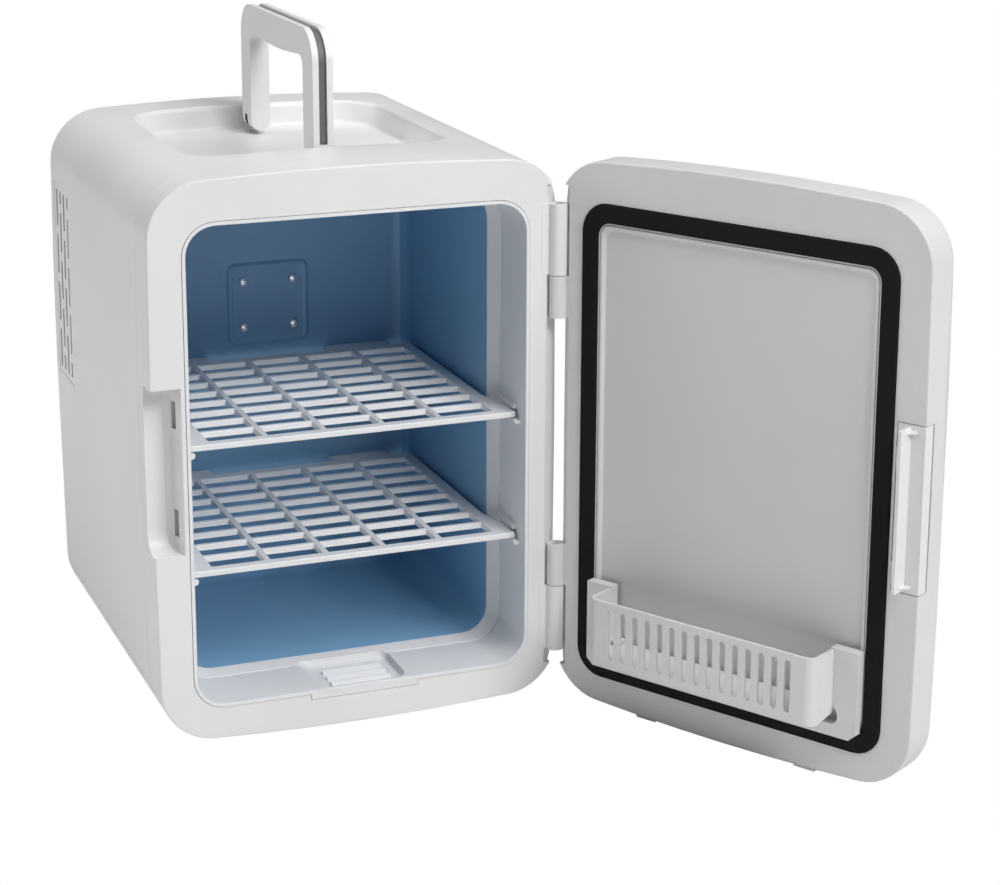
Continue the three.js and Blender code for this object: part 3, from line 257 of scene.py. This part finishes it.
def make_materials():
    return {
        "shell": moulded("shell_white", rgb(226, 226, 226), 0.42, grain=0.25),
        # painted shade: the door frame is the shell's white made darker, for the shade on the face of the
        # open door
        "shaded_door_shell": moulded("door_frame_painted_shade", rgb(216, 216, 216), 0.42, grain=0.25),
        # painted light: the handle is the shell's white made a little lighter, for the brighter light
        # high up on the handle
        "handle": moulded("handle_white_painted_light", rgb(229, 229, 229), 0.42, grain=0.2),
        "inner": moulded("inner_white", rgb(226, 227, 229), 0.36, grain=0.08),
        "blue": moulded("liner_blue", rgb(129, 174, 209), 0.38, grain=0.1),
        "shelf": moulded("shelf_white", rgb(224, 225, 227), 0.34, grain=0.06),
        "basket": moulded("basket_white", rgb(217, 217, 218), 0.36, grain=0.08),
        "door_inner": moulded("door_liner_white", rgb(214, 214, 214), 0.4, grain=0.12),
        "rubber": moulded("gasket_black", rgb(20, 20, 21), 0.7, grain=0.3, grain_scale=900.0, shine=0.15),
        "dark": moulded("hard_black", rgb(34, 34, 36), 0.42, grain=0.15),
        # the grey of the channel insert, also used as painted shade in the handle's pivot pocket
        "grey": moulded("handle_grey", rgb(98, 99, 101), 0.5, grain=0.2),
        # painted shade: the grey that stands in for the shade inside the catch slots of the white bezel
        "catch": moulded("catch_slot_painted_shade", rgb(190, 190, 191), 0.5),
        "steel": moulded("plated_steel", rgb(196, 198, 201), 0.28, metallic=1.0),
        "bright": moulded("bright_screw", rgb(248, 248, 248), 0.3, metallic=0.7),
        "alloy": moulded("extruded_alloy", rgb(205, 207, 210), 0.42, metallic=1.0, grain=0.2),
        "foam": moulded("foam_cream", rgb(232, 222, 186), 0.95, grain=0.8, grain_scale=500.0),
        "board": moulded("board_green", rgb(38, 96, 58), 0.5),
        "ceramic": moulded("ceramic_white", rgb(226, 226, 220), 0.6),
    }


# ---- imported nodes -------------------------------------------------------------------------
# A node that isn't named here is plated steel.
MATERIAL_OF = {
    "shell": (
        "cabinet_shell front_bezel vent_grille_left vent_grille_right rear_cover "
        "door_front_panel latch_lever door_pad_left door_pad_right"
    ),
    "shaded_door_shell": "door_frame",
    "handle": "handle",
    "inner": "inner_collar",
    "door_inner": "door_liner",
    "blue": "inner_liner",
    "basket": "door_basket",
    "bright": "cold_plate_screw_1 cold_plate_screw_2 cold_plate_screw_3 cold_plate_screw_4",
    "rubber": "door_gasket foot_front_left foot_front_right foot_rear_left foot_rear_right",
    "dark": "fan_frame fan_rotor fan_lead ac_inlet dc_socket mode_switch",
    "grey": "handle_trim",
    "alloy": "heat_sink cold_block",
    "foam": "insulation_foam door_foam",
    "board": "power_board",
    "ceramic": "peltier_module",
}
BEVEL_OF = {
    "cabinet_shell": 0.0006,
    "front_bezel": 0.0004,
    "inner_collar": 0.0003,
    "door_frame": 0.0006,
    "door_front_panel": 0.0005,
    "door_liner": 0.0006,
    "door_basket": 0.0005,
    "handle": 0.0014,
    "latch_lever": 0.0004,
    "door_gasket": 0.0008,
}
PLAIN_BEVEL = 0.0003
BEVEL_SEGMENTS = 3
BEVEL_ANGLE = 32.0
WELD_DISTANCE = 0.000002
FLAT_ANGLE = 0.6
LEVEL_WEIGHT = 60


def add_bevel(thing, width, angle):
    """Rounds the edges that turn by more than an angle in degrees."""
    bevel = thing.modifiers.new("bevel", "BEVEL")
    bevel.width = width
    bevel.segments = BEVEL_SEGMENTS
    bevel.limit_method = "ANGLE"
    bevel.angle_limit = math.radians(angle)
    bevel.harden_normals = True


def dress(node, width):
    """Rounds a node's sharp edges and smooths its shading without touching its mesh."""
    weld = node.modifiers.new("weld", "WELD")
    weld.merge_threshold = WELD_DISTANCE
    flat = node.modifiers.new("flat", "DECIMATE")
    flat.decimate_type = "DISSOLVE"
    flat.angle_limit = math.radians(FLAT_ANGLE)
    add_bevel(node, width, BEVEL_ANGLE)
    level = node.modifiers.new("level", "WEIGHTED_NORMAL")
    level.weight = LEVEL_WEIGHT
    for polygon in node.data.polygons:
        polygon.use_smooth = True


def dress_nodes(materials):
    """Gives every node its material and soft edges, but for the ones that are replaced below."""
    key_of = {name: key for key, names in MATERIAL_OF.items() for name in names.split()}
    for name, node in nodes.items():
        if name in SHELVES or name == "cold_plate":
            continue
        node.data.materials.clear()
        node.data.materials.append(materials[key_of.get(name, "steel")])
        dress(node, BEVEL_OF.get(name, PLAIN_BEVEL))


# ---- shelves ------------------------------------------------------------------------------
SLOT_COLUMNS, SLOT_ROWS = 5, 8
SLOT_PITCH = (0.0354, 0.0203)
SLOT_SIZE = (0.0314, 0.0168)
SLOT_FRONT = 0.0069
SLOT_CORNER = 0.0019
SHELF_THICK = 0.0036
SHELF_DEPTH = 0.1745
SHELF_CORNER = 0.0006
SHELF_BEVEL = 0.0007
SHELF_BEVEL_ANGLE = 35.0
EAR_WIDE = 0.0053
EAR_FROM = 0.016
EAR_RUN = 0.026
EAR_LINES = (0.018, 0.022, 0.0255, 0.030, 0.034, 0.038, 0.042)
TAB_X = (0.040, 0.082)
DRAFT = 0.0002
SHARP_TURN = 0.8
NEARBY = 0.001


def inside(value, spans):
    return any(low < value < high for low, high in spans)


def shelf_side(y):
    """How far the ear stands out of the shelf's side, y behind the front edge."""
    t = min(max((y - EAR_FROM) / EAR_RUN, 0.0), 1.0)
    return EAR_WIDE * (1.0 - t * t * (3.0 - 2.0 * t))


class ShelfGrid:
    """A shelf as cells between lines across it and lines that count from its front edge."""

    def __init__(self, name):
        self.low, self.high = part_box(name)
        slot_x = [(c - (SLOT_COLUMNS - 1) / 2) * SLOT_PITCH[0] for c in range(SLOT_COLUMNS)]
        slot_y = [SLOT_FRONT + r * SLOT_PITCH[1] for r in range(SLOT_ROWS)]
        self.spans_x = [(x - SLOT_SIZE[0] / 2, x + SLOT_SIZE[0] / 2) for x in slot_x]
        self.spans_y = [(y, y + SLOT_SIZE[1]) for y in slot_y]
        half = self.high.x - EAR_WIDE
        lines_x = {-half, half, *(side * x for side in (-1, 1) for x in TAB_X)}
        lines_x.update(x for span in self.spans_x for x in span)
        lines_y = {0.0, SHELF_DEPTH, *EAR_LINES}
        lines_y.update(y for span in self.spans_y for y in span)
        self.xs = sorted(lines_x)
        self.ys = sorted(lines_y) + [self.high.y - self.low.y]
        self.bm = bmesh.new()
        self.made = {}

    def solid(self, i, j):
        """Whether there is material between lines i and i + 1 across and j and j + 1 in depth."""
        if not (0 <= i < len(self.xs) - 1 and 0 <= j < len(self.ys) - 1):
            return False
        x = (self.xs[i] + self.xs[i + 1]) / 2
        y = (self.ys[j] + self.ys[j + 1]) / 2
        if y > SHELF_DEPTH:
            return inside(x, [(-TAB_X[1], -TAB_X[0]), TAB_X])
        return not (inside(x, self.spans_x) and inside(y, self.spans_y))

    def place(self, i, j, top):
        """The corner where lines i and j cross; slot walls lean, and the sides follow the ears."""
        x, y = self.xs[i], self.ys[j]
        lean = DRAFT if top else -DRAFT
        shift_x = lean if x in (span[1] for span in self.spans_x) else 0.0
        if i in (0, len(self.xs) - 1):
            shift_x = math.copysign(shelf_side(y), x)
        shift_y = lean if y in (span[1] for span in self.spans_y) else 0.0
        z = self.high.z if top else self.high.z - SHELF_THICK
        return (x + shift_x, self.low.y + y + shift_y, z)

    def vert(self, i, j, top):
        key = (i, j, top)
        if key not in self.made:
            self.made[key] = self.bm.verts.new(self.place(i, j, top))
        return self.made[key]

    def add_cell(self, i, j):
        """The top and bottom of a solid cell, and a wall on each side where the next one is open."""
        ring = ((i, j), (i + 1, j), (i + 1, j + 1), (i, j + 1))
        self.bm.faces.new([self.vert(a, b, True) for a, b in ring])
        self.bm.faces.new([self.vert(a, b, False) for a, b in reversed(ring)])
        sides = ((i, j - 1), (i + 1, j), (i, j + 1), (i - 1, j))
        for k, beside in enumerate(sides):
            if self.solid(*beside):
                continue
            start, end = ring[k], ring[(k + 1) % 4]
            corners = ((end, True), (start, True), (start, False), (end, False))
            self.bm.faces.new([self.vert(*crossing, top) for crossing, top in corners])

    def round_corners(self):
        """Rounds the upright edges: generously in the slots, slightly around the shelf."""
        slots, around = [], []
        reach_x = self.spans_x[-1][1] + NEARBY
        reach_y = self.low.y + self.spans_y[-1][1] + NEARBY
        for edge in self.bm.edges:
            at = edge.verts[0].co
            upright = abs(at.z - edge.verts[1].co.z) > NEARBY
            if upright and len(edge.link_faces) == 2 and edge.calc_face_angle() > SHARP_TURN:
                in_slot = abs(at.x) < reach_x and at.y < reach_y
                (slots if in_slot else around).append(edge)
        for edges, radius in ((slots, SLOT_CORNER), (around, SHELF_CORNER)):
            bmesh.ops.bevel(
                self.bm, geom=edges, offset=radius, segments=BEVEL_SEGMENTS,
                profile=0.5, affect="EDGES", clamp_overlap=True,
            )

    def build(self):
        """The whole shelf as one closed bmesh."""
        for i in range(len(self.xs) - 1):
            for j in range(len(self.ys) - 1):
                if self.solid(i, j):
                    self.add_cell(i, j)
        self.round_corners()
        bmesh.ops.recalc_face_normals(self.bm, faces=self.bm.faces)
        return self.bm


def make_shelf(name, material):
    """A moulded grid with rounded slots, sloped slot walls, two ears in front and two tabs behind."""
    shelf = object_from(ShelfGrid(name).build(), name + "_grid", material)
    for polygon in shelf.data.polygons:
        polygon.use_smooth = True
    add_bevel(shelf, SHELF_BEVEL, SHELF_BEVEL_ANGLE)
    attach(shelf, name)
    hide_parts(name)


# ---- cold plate ---------------------------------------------------------------------------
PLATE_FOOT = 0.0008
PLATE_BACK = 0.001
PLATE_RADIUS = 0.0065
PLATE_LEAST_RADIUS = 0.002
PLATE_CORNER_STEPS = 8
# Half the width of each ring of the face, and how far it lies behind the plate's foot.
PLATE_RINGS = (
    (0.0276, 0.0001),
    (0.0270, -0.0001),
    (0.0264, -0.0006),
    (0.0257, -0.0011),
    (0.0249, -0.0013),
    (0.0241, -0.0011),
    (0.0234, -0.0008),
    (0.0226, -0.0007),
)


def rounded_square(centre_x, centre_z, half, radius):
    """Points of a square with rounded corners in a plane that faces the front."""
    points = []
    for k, (sx, sz) in enumerate(((1, 1), (-1, 1), (-1, -1), (1, -1))):
        for step in range(PLATE_CORNER_STEPS + 1):
            angle = math.radians(90.0 * k + 90.0 * step / PLATE_CORNER_STEPS)
            x = centre_x + sx * (half - radius) + radius * math.cos(angle)
            z = centre_z + sz * (half - radius) + radius * math.sin(angle)
            points.append((x, z))
    return points


def make_cold_plate(material):
    """The plate on the rear wall: a flat panel inside a soft raised border."""
    low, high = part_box("cold_plate")
    centre_x, centre_z, foot = (low.x + high.x) / 2, (low.z + high.z) / 2, low.y + PLATE_FOOT
    bm = bmesh.new()
    rings = []
    for half, behind in PLATE_RINGS:
        radius = max(PLATE_RADIUS - (PLATE_RINGS[0][0] - half), PLATE_LEAST_RADIUS)
        points = rounded_square(centre_x, centre_z, half, radius)
        rings.append([bm.verts.new((x, foot + behind, z)) for x, z in points])
    for outside, within in zip(rings, rings[1:]):
        for k in range(len(outside)):
            n = (k + 1) % len(outside)
            bm.faces.new((outside[k], outside[n], within[n], within[k]))
    bm.faces.new(rings[-1])
    back = [bm.verts.new((v.co.x, foot + PLATE_BACK, v.co.z)) for v in rings[0]]
    for k in range(len(back)):
        n = (k + 1) % len(back)
        bm.faces.new((rings[0][n], rings[0][k], back[k], back[n]))
    bm.faces.new(back)
    bmesh.ops.recalc_face_normals(bm, faces=bm.faces)
    plate = object_from(bm, "cold_plate_face", material)
    for polygon in plate.data.polygons:
        polygon.use_smooth = len(polygon.vertices) == 4
    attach(plate, "cabinet")
    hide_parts("cold_plate")


# ---- second colours, painted shade in the pivot pocket and catch slots --------------------
# The pocket lies this far from the handle's rear end, above its lower end, and behind its skin.
PIVOT_FROM_REAR = (0.0055, 0.0115)
PIVOT_FROM_LOW = 0.0105
PIVOT_SKIN = 0.0006
PIVOT_MIDDLE = -0.0005
# The slots that open into the bezel's finger recess, in the frame of the object.
CATCH_LOWS = (0.1284, 0.1924)
CATCH_HIGH = 0.0162
CATCH_X = (-0.1077, -0.1040)
CATCH_Y = (-0.1231, -0.1181)


def mark(node, material, picked):
    """Gives a second material to the faces of a node whose centres are picked."""
    node.data.materials.append(material)
    for polygon in node.data.polygons:
        if picked(polygon.center):
            polygon.material_index = 1


def paint_handle_pivot_shade(material):
    """Paints shade into the small pocket beside the rear pivot, in the grey of the channel insert."""
    low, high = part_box("handle")
    near, far = PIVOT_FROM_REAR
    mark(nodes["handle"], material, lambda at: (
        high.y - far < at.y < high.y - near
        and at.z < low.z + PIVOT_FROM_LOW
        and low.x + PIVOT_SKIN < at.x < PIVOT_MIDDLE
    ))


def paint_catch_slot_shade(material):
    """Paints shade into the inside of the two slots that the door's latch hooks into, as a grey in place
    of the bezel's white.
    """
    mark(nodes["front_bezel"], material, lambda at: (
        CATCH_X[0] < at.x < CATCH_X[1]
        and CATCH_Y[0] < at.y < CATCH_Y[1]
        and any(low < at.z < low + CATCH_HIGH for low in CATCH_LOWS)
    ))


make_camera()
make_world()
make_floor()
make_lights()
MATERIALS = make_materials()
dress_nodes(MATERIALS)
paint_handle_pivot_shade(MATERIALS["grey"])
paint_catch_slot_shade(MATERIALS["catch"])
make_cold_plate(MATERIALS["blue"])
for shelf_name in SHELVES:
    make_shelf(shelf_name, MATERIALS["shelf"])
